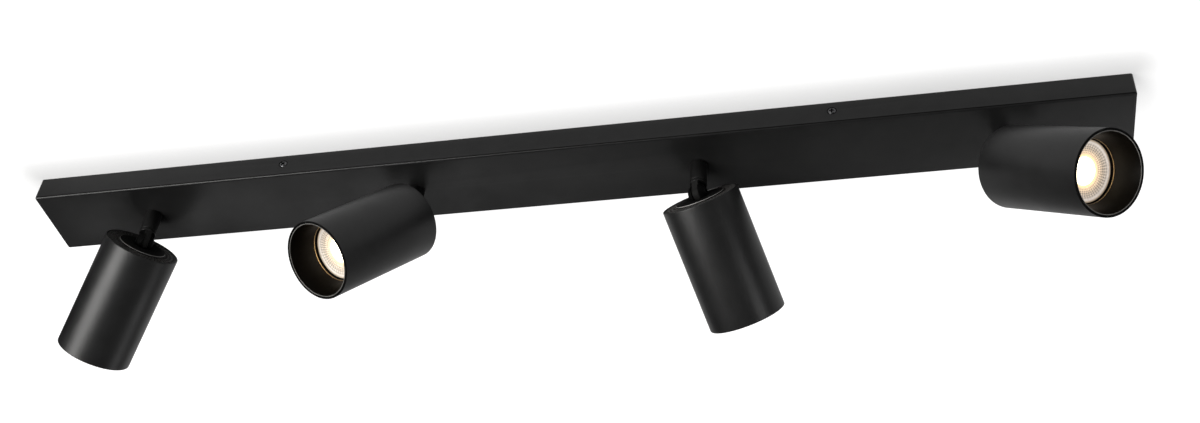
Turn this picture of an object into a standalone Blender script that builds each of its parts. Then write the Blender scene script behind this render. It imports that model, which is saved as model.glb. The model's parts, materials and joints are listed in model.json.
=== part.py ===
"""Ceiling track light: a shallow folded canopy carrying four aimable spots.

Units are metres and +Z is up.  The origin is the centre of the ceiling
bracket's upper face, which rests on the ceiling, and +X runs along the canopy.
Each spot is built around its tilt pivot with its tube along local -Z, then
turned about its stem (pan) and about its pivot (tilt).
"""
import math

import bmesh
import bpy
from mathutils import Matrix, Vector

MM = 0.001

# Canopy: a folded steel tray, open towards the ceiling.
CANOPY_LENGTH = 864 * MM
CANOPY_WIDTH = 63 * MM
CANOPY_TOP = -0.5 * MM
CANOPY_BOTTOM = -21.5 * MM
CANOPY_WALL = 1.2 * MM
FOLD_RADIUS = 1.0 * MM

# Ceiling bracket: a steel strip with turned-down tabs for the side screws.
BRACKET_LENGTH = 520 * MM
BRACKET_WIDTH = 54 * MM
BRACKET_THICKNESS = 1.5 * MM
TAB_X = 217 * MM
TAB_WIDTH = 16 * MM
TAB_DEPTH = 15 * MM
SIDE_SCREW_Z = -9.3 * MM
SIDE_SCREW_RADIUS = 1.9 * MM

# Spots.
SPOT_X = (-339 * MM, -113 * MM, 113 * MM, 339 * MM)
PAN_DEG = (132.0, 226.0, 71.0, -42.0)
TILT_DEG = (53.0, 40.0, 55.0, 51.0)
STEM_RADIUS = 6.5 * MM
STEM_NECK_RADIUS = 5.0 * MM
PIVOT_DROP = 30 * MM
PIVOT_Z = CANOPY_BOTTOM - PIVOT_DROP
PIVOT_TO_REAR = 4 * MM
EYE_RADIUS = 6.0 * MM
EYE_THICKNESS = 5.0 * MM
SHOULDER = 8.0 * MM
PIVOT_RADIUS = 2.5 * MM

TUBE_RADIUS = 30 * MM
TUBE_WALL = 1.5 * MM
TUBE_LENGTH = 98 * MM
REAR = -PIVOT_TO_REAR
MOUTH = REAR - TUBE_LENGTH
DISC_RADIUS = 19 * MM
LAMP_FRONT = MOUTH + 22 * MM
LAMP_RADIUS = 25 * MM
LENS_RADIUS = 21.6 * MM

GAP = 0.3 * MM

COLORS = {
    "black_coat": ((0.021, 0.021, 0.022, 1), 0.42, 0.0),
    "zinc": ((0.52, 0.52, 0.53, 1), 0.38, 1.0),
    "screw_steel": ((0.16, 0.16, 0.17, 1), 0.35, 1.0),
    "ceramic": ((0.78, 0.76, 0.70, 1), 0.55, 0.0),
    "lamp_shell": ((0.62, 0.60, 0.57, 1), 0.35, 0.4),
    "lamp_glass": ((0.95, 0.88, 0.72, 1), 0.20, 0.0),
    "terminal_plastic": ((0.80, 0.80, 0.76, 1), 0.50, 0.0),
    "wire": ((0.30, 0.13, 0.06, 1), 0.50, 0.0),
}


def clear_scene():
    for obj in list(bpy.data.objects):
        bpy.data.objects.remove(obj, do_unlink=True)


def material(name):
    found = bpy.data.materials.get(name)
    if found:
        return found
    color, roughness, metallic = COLORS[name]
    mat = bpy.data.materials.new(name)
    mat.use_nodes = True
    shader = mat.node_tree.nodes["Principled BSDF"]
    shader.inputs["Base Color"].default_value = color
    shader.inputs["Roughness"].default_value = roughness
    shader.inputs["Metallic"].default_value = metallic
    mat.diffuse_color = color
    return mat


def finish_object(name, bm, mat_name, smooth_deg=35.0):
    """Turn a bmesh into a named, shaded object with its material."""
    bmesh.ops.recalc_face_normals(bm, faces=bm.faces)
    mesh = bpy.data.meshes.new(name)
    bm.to_mesh(mesh)
    bm.free()
    mesh.materials.append(material(mat_name))
    mesh.shade_smooth()
    mesh.set_sharp_from_angle(angle=math.radians(smooth_deg))
    obj = bpy.data.objects.new(name, mesh)
    bpy.context.scene.collection.objects.link(obj)
    return obj


def boolean(obj, cutter, operation="DIFFERENCE"):
    """Apply one exact boolean to obj and remove the cutter."""
    cutter.hide_render = True
    cutter.display_type = "WIRE"
    modifier = obj.modifiers.new("cut", "BOOLEAN")
    modifier.operation = operation
    modifier.solver = "EXACT"
    modifier.object = cutter
    graph = bpy.context.evaluated_depsgraph_get()
    mesh = bpy.data.meshes.new_from_object(obj.evaluated_get(graph))
    old = obj.data
    name = old.name
    obj.modifiers.remove(modifier)
    obj.data = mesh
    bpy.data.meshes.remove(old)
    mesh.name = name
    old = cutter.data
    bpy.data.objects.remove(cutter, do_unlink=True)
    bpy.data.meshes.remove(old)
    mesh.shade_smooth()
    mesh.set_sharp_from_angle(angle=math.radians(35))
    return obj


def cut(obj, *cutters):
    for cutter in cutters:
        boolean(obj, cutter)
    return obj


def join(obj, *others):
    for other in others:
        boolean(obj, other, "UNION")
    return obj


def revolve(name, profile, mat_name, steps=48):
    """Closed ring or solid of revolution about Z from (radius, z) points."""
    bm = bmesh.new()
    rings = []
    for radius, z in profile:
        if radius <= 1e-9:
            rings.append([bm.verts.new((0, 0, z))])
            continue
        ring = []
        for k in range(steps):
            a = 2 * math.pi * k / steps
            ring.append(bm.verts.new((radius * math.cos(a), radius * math.sin(a), z)))
        rings.append(ring)
    count = len(rings)
    closed = len(rings[0]) > 1 and len(rings[-1]) > 1
    last = count if closed else count - 1
    for i in range(last):
        low = rings[i]
        high = rings[(i + 1) % count]
        for k in range(steps):
            n = (k + 1) % steps
            if len(low) == 1:
                bm.faces.new((low[0], high[k], high[n]))
            elif len(high) == 1:
                bm.faces.new((low[k], low[n], high[0]))
            else:
                bm.faces.new((low[k], low[n], high[n], high[k]))
    return finish_object(name, bm, mat_name)


def disc_profile(radius, low, high):
    return [(0, low), (radius, low), (radius, high), (0, high)]


def cylinder(name, radius, low, high, mat_name, steps=32):
    return revolve(name, disc_profile(radius, low, high), mat_name, steps)


def turned(obj, matrix):
    """Bake a placement into the mesh, keeping the object's origin at zero."""
    obj.data.transform(matrix)
    return obj


def box(name, low, high, mat_name):
    bm = bmesh.new()
    bmesh.ops.create_cube(bm, size=1.0)
    for v in bm.verts:
        for i in range(3):
            v.co[i] = low[i] if v.co[i] < 0 else high[i]
    return finish_object(name, bm, mat_name)


def prism(name, outline, low, high, mat_name):
    """Extrude an outline of (x, y) points from z = low to z = high."""
    bm = bmesh.new()
    bottom = [bm.verts.new((x, y, low)) for x, y in outline]
    top = [bm.verts.new((x, y, high)) for x, y in outline]
    bm.faces.new(list(reversed(bottom)))
    bm.faces.new(top)
    for i in range(len(outline)):
        n = (i + 1) % len(outline)
        bm.faces.new((bottom[i], bottom[n], top[n], top[i]))
    return finish_object(name, bm, mat_name)


def along_y(x, y, z):
    """Placement that lays a local Z cylinder along world Y at a point."""
    return Matrix.Translation((x, y, z)) @ Matrix.Rotation(math.radians(-90), 4, "X")


def make_canopy():
    """Tray of one wall thickness with rolled bottom edges and square ends."""
    half_x = CANOPY_LENGTH / 2
    half_y = CANOPY_WIDTH / 2
    outer = [(-half_y, CANOPY_TOP)]
    for side in (-1, 1):
        for k in range(4):
            a = math.radians(30 * k)
            if side > 0:
                a = math.radians(90) - a
            y = side * (half_y - FOLD_RADIUS + FOLD_RADIUS * math.cos(a))
            z = CANOPY_BOTTOM + FOLD_RADIUS - FOLD_RADIUS * math.sin(a)
            outer.append((y, z))
    outer.append((half_y, CANOPY_TOP))
    bm = bmesh.new()
    ends = []
    for x in (-half_x, half_x):
        ends.append([bm.verts.new((x, y, z)) for y, z in outer])
    bm.faces.new(ends[0])
    bm.faces.new(list(reversed(ends[1])))
    for i in range(len(outer)):
        n = (i + 1) % len(outer)
        bm.faces.new((ends[0][i], ends[1][i], ends[1][n], ends[0][n]))
    tray = finish_object("canopy_housing", bm, "black_coat")
    hollow = box(
        "canopy_cut",
        (-half_x + CANOPY_WALL, -half_y + CANOPY_WALL, CANOPY_BOTTOM + CANOPY_WALL),
        (half_x - CANOPY_WALL, half_y - CANOPY_WALL, 10 * MM),
        "black_coat",
    )
    cut(tray, hollow)
    for x in SPOT_X:
        hole = cylinder("hole", STEM_NECK_RADIUS + 0.2 * MM, -30 * MM, -15 * MM, "zinc", 32)
        cut(tray, turned(hole, Matrix.Translation((x, 0, 0))))
    for x in (-TAB_X, TAB_X):
        for side in (-1, 1):
            hole = cylinder("hole", SIDE_SCREW_RADIUS + GAP, -5 * MM, 5 * MM, "zinc", 20)
            cut(tray, turned(hole, along_y(x, side * half_y, SIDE_SCREW_Z)))
    return tray


def make_bracket():
    """Strip on the ceiling with four tabs, two fixing slots and a cable hole."""
    half_x = BRACKET_LENGTH / 2
    half_y = BRACKET_WIDTH / 2
    under = -BRACKET_THICKNESS
    strip = box("ceiling_bracket", (-half_x, -half_y, under), (half_x, half_y, 0), "zinc")
    for x in (-TAB_X, TAB_X):
        for side in (-1, 1):
            outer = side * (CANOPY_WIDTH / 2 - CANOPY_WALL - GAP)
            inner = outer - side * BRACKET_THICKNESS
            reach = side * (half_y - 1 * MM)
            low_y = min(outer, inner)
            tab = box(
                "tab",
                (x - TAB_WIDTH / 2, low_y, -TAB_DEPTH),
                (x + TAB_WIDTH / 2, low_y + BRACKET_THICKNESS, 0),
                "zinc",
            )
            ear = box(
                "ear",
                (x - TAB_WIDTH / 2, min(reach, outer), under),
                (x + TAB_WIDTH / 2, max(reach, outer), 0),
                "zinc",
            )
            join(tab, ear)
            join(strip, tab)
            hole = cylinder("hole", SIDE_SCREW_RADIUS + 0.1 * MM, -4 * MM, 4 * MM, "zinc", 20)
            cut(strip, turned(hole, along_y(x, outer, SIDE_SCREW_Z)))
    for x in (-160 * MM, 160 * MM):
        slot = box("slot", (x - 14 * MM, -2.5 * MM, -5 * MM), (x + 14 * MM, 2.5 * MM, 5 * MM), "zinc")
        cut(strip, slot)
    cable_hole = cylinder("hole", 9 * MM, -5 * MM, 5 * MM, "zinc", 32)
    cut(strip, turned(cable_hole, Matrix.Translation((60 * MM, 0, 0))))
    return strip


def make_side_screw(name, x, side):
    """Small pan-head screw through the canopy's side into a bracket tab."""
    head = 1.2 * MM
    profile = [
        (0, -6 * MM),
        (SIDE_SCREW_RADIUS, -6 * MM),
        (SIDE_SCREW_RADIUS, GAP),
        (2.7 * MM, GAP),
        (2.6 * MM, GAP + 0.6 * head),
        (1.6 * MM, GAP + head),
        (0, GAP + head),
    ]
    screw = revolve(name, profile, "screw_steel", 20)
    if side > 0:
        place = along_y(x, CANOPY_WIDTH / 2, SIDE_SCREW_Z)
    else:
        place = Matrix.Rotation(math.pi, 4, "Z") @ along_y(-x, CANOPY_WIDTH / 2, SIDE_SCREW_Z)
    return turned(screw, place)


def make_terminal_block():
    """Three-way mains terminal block hung under the bracket."""
    top = -BRACKET_THICKNESS - GAP
    low = (-15 * MM, -8 * MM, top - 11 * MM)
    block = box("terminal_block", low, (15 * MM, 8 * MM, top), "terminal_plastic")
    for k in (-1, 0, 1):
        way = cylinder("way", 1.6 * MM, -5 * MM, 5 * MM, "zinc", 12)
        cut(block, turned(way, along_y(9.5 * MM * k, -8 * MM, top - 7 * MM)))
        way = cylinder("way", 1.6 * MM, -5 * MM, 5 * MM, "zinc", 12)
        cut(block, turned(way, along_y(9.5 * MM * k, 8 * MM, top - 7 * MM)))
    return block


def make_earth_screw():
    """Earth terminal hanging from the bracket."""
    top = -BRACKET_THICKNESS - GAP
    profile = [
        (0, top),
        (4.2 * MM, top),
        (4.2 * MM, top - 1.2 * MM),
        (2 * MM, top - 1.2 * MM),
        (2 * MM, top - 5 * MM),
        (3.6 * MM, top - 5 * MM),
        (3.6 * MM, top - 8 * MM),
        (0, top - 8 * MM),
    ]
    screw = revolve("earth_screw", profile, "screw_steel", 24)
    return turned(screw, Matrix.Translation((-45 * MM, 0, 0)))


def make_cable_clamp():
    """Cord grip beside the cable hole: a bridge with a half-round channel."""
    top = -BRACKET_THICKNESS - GAP
    low = (36 * MM, -11 * MM, top - 8 * MM)
    bridge = box("cable_clamp", low, (45 * MM, 11 * MM, top), "terminal_plastic")
    channel = cylinder("channel", 4 * MM, -20 * MM, 20 * MM, "zinc", 20)
    lay = Matrix.Translation((40 * MM, 0, top)) @ Matrix.Rotation(math.radians(90), 4, "Y")
    return cut(bridge, turned(channel, lay))


def tube_along(name, points, radius, mat_name, sides=8):
    """Round wire swept along points, with closed ends."""
    bm = bmesh.new()
    rings = []
    for i, point in enumerate(points):
        before = Vector(points[max(i - 1, 0)])
        after = Vector(points[min(i + 1, len(points) - 1)])
        direction = (after - before).normalized()
        side = direction.cross(Vector((0, 0, 1))).normalized()
        rise = side.cross(direction)
        ring = []
        for k in range(sides):
            a = 2 * math.pi * k / sides
            offset = side * radius * math.cos(a) + rise * radius * math.sin(a)
            ring.append(bm.verts.new(Vector(point) + offset))
        rings.append(ring)
    for low, high in zip(rings, rings[1:]):
        for k in range(sides):
            n = (k + 1) % sides
            bm.faces.new((low[k], low[n], high[n], high[k]))
    bm.faces.new(list(reversed(rings[0])))
    bm.faces.new(rings[-1])
    return finish_object(name, bm, mat_name)


def make_supply_lead():
    """Feed wire laid along the tray floor past all four stems."""
    points = []
    steps = 28
    for k in range(steps + 1):
        t = k / steps
        x = (t - 0.5) * 640 * MM
        y = 20 * MM + 3 * MM * math.sin(6 * math.pi * t)
        z = CANOPY_BOTTOM + CANOPY_WALL + 2.4 * MM
        points.append((x, y, z))
    return tube_along("supply_lead", points, 1.8 * MM, "wire")


def make_stem(name):
    """Stem: thread through the canopy, round body, groove, and a flat eye."""
    rise = PIVOT_DROP - GAP
    profile = [
        (0, SHOULDER),
        (STEM_RADIUS - 0.6 * MM, SHOULDER),
        (STEM_RADIUS, SHOULDER + 0.6 * MM),
        (STEM_RADIUS, SHOULDER + 2.2 * MM),
        (STEM_RADIUS - 0.4 * MM, SHOULDER + 2.4 * MM),
        (STEM_RADIUS - 0.4 * MM, SHOULDER + 3.0 * MM),
        (STEM_RADIUS, SHOULDER + 3.2 * MM),
        (STEM_RADIUS, rise),
        (STEM_NECK_RADIUS, rise),
        (STEM_NECK_RADIUS, PIVOT_DROP + 8 * MM),
        (0, PIVOT_DROP + 8 * MM),
    ]
    stem = revolve(name, profile, "black_coat", 28)
    outline = [(EYE_RADIUS, SHOULDER + 1 * MM), (-EYE_RADIUS, SHOULDER + 1 * MM)]
    steps = 14
    for k in range(steps + 1):
        a = math.pi + math.pi * k / steps
        outline.append((EYE_RADIUS * math.cos(a), EYE_RADIUS * math.sin(a)))
    eye = prism("eye", outline, -EYE_THICKNESS / 2, EYE_THICKNESS / 2, "black_coat")
    turned(eye, Matrix.Rotation(math.radians(90), 4, "X"))
    join(stem, eye)
    hole = cylinder("hole", PIVOT_RADIUS + 0.1 * MM, -10 * MM, 10 * MM, "zinc", 20)
    return cut(stem, turned(hole, Matrix.Rotation(math.radians(90), 4, "X")))


def make_stem_nut(name):
    """Hexagon nut clamping the stem inside the tray."""
    low = PIVOT_DROP + CANOPY_WALL + GAP
    outline = []
    for k in range(6):
        a = math.radians(60 * k)
        outline.append((8.6 * MM * math.cos(a), 8.6 * MM * math.sin(a)))
    nut = prism(name, outline, low, low + 4 * MM, "zinc")
    hole = cylinder("hole", STEM_NECK_RADIUS + 0.15 * MM, low - 5 * MM, low + 10 * MM, "zinc", 32)
    return cut(nut, hole)


def make_knuckle(name):
    """Clevis on the rear disc: a boss and two round-topped cheeks."""
    low = REAR - 6.5 * MM
    profile = [
        (0, low),
        (9.5 * MM, low),
        (9.5 * MM, low + 1.2 * MM),
        (6.9 * MM, low + 1.2 * MM),
        (6.9 * MM, REAR + 0.7 * MM),
        (0, REAR + 0.7 * MM),
    ]
    knuckle = revolve(name, profile, "black_coat", 24)
    half = EYE_THICKNESS / 2 + GAP + 3.2 * MM
    outline = [(-6.0 * MM, REAR - 2 * MM), (6.0 * MM, REAR - 2 * MM)]
    steps = 16
    for k in range(steps + 1):
        a = math.pi * k / steps
        outline.append((6.0 * MM * math.cos(a), 6.0 * MM * math.sin(a)))
    cheeks = prism("cheeks", outline, -half, half, "black_coat")
    turned(cheeks, Matrix.Rotation(math.radians(90), 4, "X"))
    trim = cylinder("trim", 6.8 * MM, REAR - 6 * MM, 20 * MM, "black_coat", 24)
    boolean(cheeks, trim, "INTERSECT")
    join(knuckle, cheeks)
    ledge = REAR - 0.5 * MM
    pocket = EYE_RADIUS + 0.4 * MM
    start = math.asin(-ledge / pocket)
    outline = [(-8 * MM, 20 * MM), (-8 * MM, ledge)]
    steps = 12
    for k in range(steps + 1):
        a = math.pi + start + (math.pi - 2 * start) * k / steps
        outline.append((pocket * math.cos(a), pocket * math.sin(a)))
    outline += [(8 * MM, ledge), (8 * MM, 20 * MM)]
    slot_half = EYE_THICKNESS / 2 + GAP
    slot = prism("slot", outline, -slot_half, slot_half, "black_coat")
    turned(slot, Matrix.Rotation(math.radians(90), 4, "X"))
    hole = cylinder("hole", PIVOT_RADIUS + 0.1 * MM, -10 * MM, 10 * MM, "zinc", 20)
    turned(hole, Matrix.Rotation(math.radians(90), 4, "X"))
    return cut(knuckle, slot, hole)


def make_pivot_screw(name):
    """Tilt pivot: shank with a low head and a riveted tail."""
    half = EYE_THICKNESS / 2 + GAP + 3.2 * MM
    profile = [
        (0, -half - 0.9 * MM),
        (2.4 * MM, -half - 0.9 * MM),
        (3.2 * MM, -half - 0.5 * MM),
        (3.2 * MM, -half - 0.1 * MM),
        (PIVOT_RADIUS, -half - 0.1 * MM),
        (PIVOT_RADIUS, half + 0.1 * MM),
        (3.2 * MM, half + 0.1 * MM),
        (3.2 * MM, half + 0.5 * MM),
        (2.4 * MM, half + 0.9 * MM),
        (0, half + 0.9 * MM),
    ]
    screw = revolve(name, profile, "screw_steel", 16)
    return turned(screw, Matrix.Rotation(math.radians(90), 4, "X"))


def make_rear_cap(name):
    """Rear disc standing 0.7 mm proud, with a flange that carries the grille."""
    top = REAR + 0.7 * MM
    profile = [
        (7.2 * MM, REAR - 5.0 * MM),
        (TUBE_RADIUS - TUBE_WALL - GAP, REAR - 5.0 * MM),
        (TUBE_RADIUS - TUBE_WALL - GAP, REAR - 3.6 * MM),
        (DISC_RADIUS, REAR - 3.6 * MM),
        (DISC_RADIUS, top - 0.5 * MM),
        (DISC_RADIUS - 0.5 * MM, top),
        (7.2 * MM, top),
    ]
    return revolve(name, profile, "black_coat", 40)


def make_vent_ring(name):
    """Ring between the rear disc and the tube, which the heat leaves by."""
    top = REAR - 0.5 * MM
    profile = [
        (DISC_RADIUS + GAP, top - 1.0 * MM),
        (TUBE_RADIUS - TUBE_WALL - GAP, top - 1.0 * MM),
        (TUBE_RADIUS - TUBE_WALL - GAP, top),
        (DISC_RADIUS + GAP, top),
    ]
    return revolve(name, profile, "black_coat", 40)


def make_tube(name):
    """Round housing open at both ends, with small edge radii."""
    inner = TUBE_RADIUS - TUBE_WALL
    profile = [
        (inner, MOUTH),
        (TUBE_RADIUS - 0.5 * MM, MOUTH),
        (TUBE_RADIUS, MOUTH + 0.5 * MM),
        (TUBE_RADIUS, REAR - 0.5 * MM),
        (TUBE_RADIUS - 0.5 * MM, REAR),
        (inner, REAR),
    ]
    return revolve(name, profile, "black_coat", 48)


def make_lampholder(name):
    """Ceramic twist-lock lampholder with two blind pin sockets."""
    low = LAMP_FRONT + 47.3 * MM
    profile = disc_profile(14 * MM, low, low + 13 * MM)
    holder = revolve(name, profile, "ceramic", 24)
    for side in (-1, 1):
        socket = cylinder("socket", 2.8 * MM, low - 5 * MM, low + 8 * MM, "zinc", 16)
        cut(holder, turned(socket, Matrix.Translation((0, side * 5 * MM, 0))))
    return holder


def make_holder_bracket(name):
    """Steel strap that hangs the lampholder from the rear cap."""
    top = REAR - 5.0 * MM - GAP
    low = LAMP_FRONT + 60.3 * MM + GAP
    sheet = 1.2 * MM
    half = 19 * MM
    foot = 11 * MM
    outline = [
        (-foot, top),
        (-half, top),
        (-half, low),
        (half, low),
        (half, top),
        (foot, top),
        (foot, top - sheet),
        (half - sheet, top - sheet),
        (half - sheet, low + sheet),
        (sheet - half, low + sheet),
        (sheet - half, top - sheet),
        (-foot, top - sheet),
    ]
    strap = prism(name, outline, -5 * MM, 5 * MM, "zinc")
    return turned(strap, Matrix.Rotation(math.radians(90), 4, "X"))


def make_lamp(name):
    """Reflector lamp with its two contact pins."""
    rear = LAMP_FRONT + 47 * MM
    profile = [
        (0, LAMP_FRONT + 3.3 * MM),
        (LENS_RADIUS + GAP, LAMP_FRONT + 3.3 * MM),
        (LENS_RADIUS + GAP, LAMP_FRONT),
        (LAMP_RADIUS, LAMP_FRONT),
        (LAMP_RADIUS, LAMP_FRONT + 3 * MM),
        (22 * MM, LAMP_FRONT + 12 * MM),
        (16 * MM, LAMP_FRONT + 24 * MM),
        (12.5 * MM, LAMP_FRONT + 32 * MM),
        (12 * MM, rear),
        (0, rear),
    ]
    lamp = revolve(name, profile, "lamp_shell", 28)
    for side in (-1, 1):
        pin = cylinder("pin", 2.3 * MM, rear - 2 * MM, rear + 6.5 * MM, "zinc", 16)
        join(lamp, turned(pin, Matrix.Translation((0, side * 5 * MM, 0))))
    return lamp


def make_lens(name):
    """Lamp's front lens with a shallow central dome."""
    low = LAMP_FRONT + 0.6 * MM
    profile = [
        (0, LAMP_FRONT - 1.8 * MM),
        (4 * MM, LAMP_FRONT - 1.6 * MM),
        (8 * MM, LAMP_FRONT - 0.7 * MM),
        (10.2 * MM, low),
        (LENS_RADIUS, low),
        (LENS_RADIUS, LAMP_FRONT + 3.0 * MM),
        (0, LAMP_FRONT + 3.0 * MM),
    ]
    return revolve(name, profile, "lamp_glass", 28)


def make_baffle(name):
    """Anti-glare cone from the mouth to the lamp, with a seat for the lamp."""
    outer = TUBE_RADIUS - TUBE_WALL - GAP
    seat = LAMP_FRONT - GAP
    profile = [
        (outer - 1.0 * MM, MOUTH + 0.6 * MM),
        (outer, MOUTH + 0.6 * MM),
        (outer, MOUTH + 3.0 * MM),
        (23.6 * MM, seat - 1.6 * MM),
        (outer, seat - 1.2 * MM),
        (outer, seat),
        (22.5 * MM, seat),
        (22.5 * MM, seat - 1.6 * MM),
    ]
    return revolve(name, profile, "black_coat", 40)


HEAD_PARTS = (
    ("knuckle", make_knuckle),
    ("pivot_screw", make_pivot_screw),
    ("rear_cap", make_rear_cap),
    ("vent_ring", make_vent_ring),
    ("tube", make_tube),
    ("lampholder", make_lampholder),
    ("holder_bracket", make_holder_bracket),
    ("lamp_body", make_lamp),
    ("lamp_lens", make_lens),
    ("baffle", make_baffle),
)


def add_axis(name, parent, matrix):
    """Empty whose origin and turn mark a joint."""
    empty = bpy.data.objects.new(name, None)
    empty.empty_display_size = 20 * MM
    bpy.context.scene.collection.objects.link(empty)
    empty.parent = parent
    empty.matrix_basis = matrix
    return empty


def make_spot(index, x, pan_deg, tilt_deg):
    number = index + 1
    turn = Matrix.Rotation(math.radians(pan_deg), 4, "Z")
    lean = Matrix.Rotation(math.radians(-tilt_deg), 4, "Y")
    pan = add_axis(f"pan_axis_{number}", None, Matrix.Translation((x, 0, PIVOT_Z)) @ turn)
    tilt = add_axis(f"tilt_axis_{number}", pan, lean)
    make_stem(f"stem_{number}").parent = pan
    make_stem_nut(f"stem_nut_{number}").parent = pan
    for part, maker in HEAD_PARTS:
        maker(f"{part}_{number}").parent = tilt


def build():
    clear_scene()
    make_canopy()
    make_bracket()
    corners = ((-TAB_X, -1), (TAB_X, -1), (-TAB_X, 1), (TAB_X, 1))
    for number, (x, side) in enumerate(corners, start=1):
        make_side_screw(f"side_screw_{number}", x, side)
    make_terminal_block()
    make_earth_screw()
    make_cable_clamp()
    make_supply_lead()
    for index, x in enumerate(SPOT_X):
        make_spot(index, x, PAN_DEG[index], TILT_DEG[index])


build()
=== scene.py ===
"""Looks for the four-spot ceiling light: fine meshes, materials, lights and camera."""
import math

import bmesh
import bpy
from mathutils import Matrix, Vector
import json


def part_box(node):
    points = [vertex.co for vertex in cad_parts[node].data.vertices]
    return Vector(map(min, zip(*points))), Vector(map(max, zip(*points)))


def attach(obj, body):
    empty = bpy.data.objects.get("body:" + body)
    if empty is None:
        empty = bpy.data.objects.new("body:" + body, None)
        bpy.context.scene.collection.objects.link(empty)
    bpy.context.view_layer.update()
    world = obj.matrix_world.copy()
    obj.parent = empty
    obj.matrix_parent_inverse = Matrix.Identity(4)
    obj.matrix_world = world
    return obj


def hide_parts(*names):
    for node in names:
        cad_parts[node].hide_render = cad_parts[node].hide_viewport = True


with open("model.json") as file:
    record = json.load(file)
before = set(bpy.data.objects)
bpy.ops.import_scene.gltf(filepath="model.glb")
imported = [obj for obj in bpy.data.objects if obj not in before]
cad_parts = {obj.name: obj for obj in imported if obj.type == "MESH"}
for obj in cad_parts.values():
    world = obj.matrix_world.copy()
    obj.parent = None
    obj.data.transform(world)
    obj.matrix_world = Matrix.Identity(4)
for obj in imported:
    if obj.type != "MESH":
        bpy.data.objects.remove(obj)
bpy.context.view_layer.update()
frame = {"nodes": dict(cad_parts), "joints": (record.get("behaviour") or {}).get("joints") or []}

MM = 0.001
SPOTS = (1, 2, 3, 4)
SIDE_SCREWS = (1, 2, 3, 4)
SHARP_ANGLE = 32

# Canopy.
HALF_LENGTH = 432 * MM
HALF_WIDTH = 31.5 * MM
WALL = 1.2 * MM
FOLD_R = 2.0 * MM
FOLD_STEPS = 8
STEM_HOLE_R = 5.2 * MM
SINK_R = 3.7 * MM
SCREW_R = 1.85 * MM
SCREW_HEAD_R = 2.9 * MM
SCREW_INSET = 0.75 * MM

# A spot in its own frame: the tilt pivot at zero, the tube along -Z.
REAR = -4 * MM
MOUTH = -102 * MM
TUBE_R = 30 * MM
BORE_R = 28.5 * MM
LINER_R = BORE_R - 0.3 * MM
DISC_R = 19 * MM
DISC_TOP = REAR + 0.7 * MM
LAMP_FRONT = -80 * MM
LAMP_R = 25 * MM
LENS_R = 21.6 * MM
DOME_R = 10 * MM
COLLAR_R = 19.8 * MM
FLUTES = 54
SHOULDER = 8 * MM
PIVOT_DROP = 30 * MM
STEM_R = 6.5 * MM
THREAD_R = 5.0 * MM
EYE_R = 5.9 * MM
EYE_HALF = 2.5 * MM
BALL_R = 7.6 * MM
PIN_R = 2.5 * MM
PIN_HALF = 6.1 * MM
PIN_HEAD_R = 3.2 * MM


# ---------------------------------------------------------------- materials

def grey(value):
    return (value, value, value)


class Nodes:
    """Small helper for wiring a node tree."""

    def __init__(self, tree):
        self.tree = tree

    def add(self, kind, links=None, **settings):
        node = self.tree.nodes.new(kind)
        for key, value in settings.items():
            setattr(node, key, value)
        for key, value in (links or {}).items():
            self.feed(node.inputs[key], value)
        return node

    def feed(self, socket, value):
        if isinstance(value, bpy.types.NodeSocket):
            self.tree.links.new(value, socket)
        else:
            socket.default_value = value

    def ramp(self, fac, stops):
        node = self.tree.nodes.new("ShaderNodeValToRGB")
        elements = node.color_ramp.elements
        while len(elements) < len(stops):
            elements.new(0.5)
        for element, (place, color) in zip(elements, stops):
            element.position = place
            if not isinstance(color, tuple):
                color = grey(color)
            element.color = (*color, 1)
        self.feed(node.inputs["Fac"], fac)
        return node.outputs["Color"]

    def span(self, value, low, high, to_low, to_high):
        links = {0: value, 1: low, 2: high, 3: to_low, 4: to_high}
        return self.add("ShaderNodeMapRange", links).outputs[0]

    def math(self, operation, a, b=0.0):
        return self.add("ShaderNodeMath", {0: a, 1: b}, operation=operation).outputs[0]

    def noise(self, vector, scale, detail=3.0, rough=0.5):
        links = {"Vector": vector, "Scale": scale, "Detail": detail, "Roughness": rough}
        return self.add("ShaderNodeTexNoise", links).outputs["Fac"]

    def mix(self, fac, a, b):
        node = self.add("ShaderNodeMix", data_type="RGBA")
        self.feed(node.inputs[0], fac)
        self.feed(node.inputs[6], a)
        self.feed(node.inputs[7], b)
        return node.outputs[2]

    def mix_shader(self, fac, first, second):
        return self.add("ShaderNodeMixShader", {0: fac, 1: first, 2: second}).outputs[0]

    def emission(self, strength):
        links = {"Color": (1, 1, 1, 1), "Strength": strength}
        return self.add("ShaderNodeEmission", links).outputs[0]

    def bump(self, height, distance, strength=1.0):
        links = {"Height": height, "Distance": distance, "Strength": strength}
        return self.add("ShaderNodeBump", links).outputs["Normal"]


def new_material(name, metallic=0.0):
    mat = bpy.data.materials.new(name)
    mat.use_nodes = True
    nodes = Nodes(mat.node_tree)
    shader = mat.node_tree.nodes["Principled BSDF"]
    shader.inputs["Metallic"].default_value = metallic
    where = nodes.add("ShaderNodeTexCoord").outputs["Object"]
    return mat, nodes, shader, where


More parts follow.
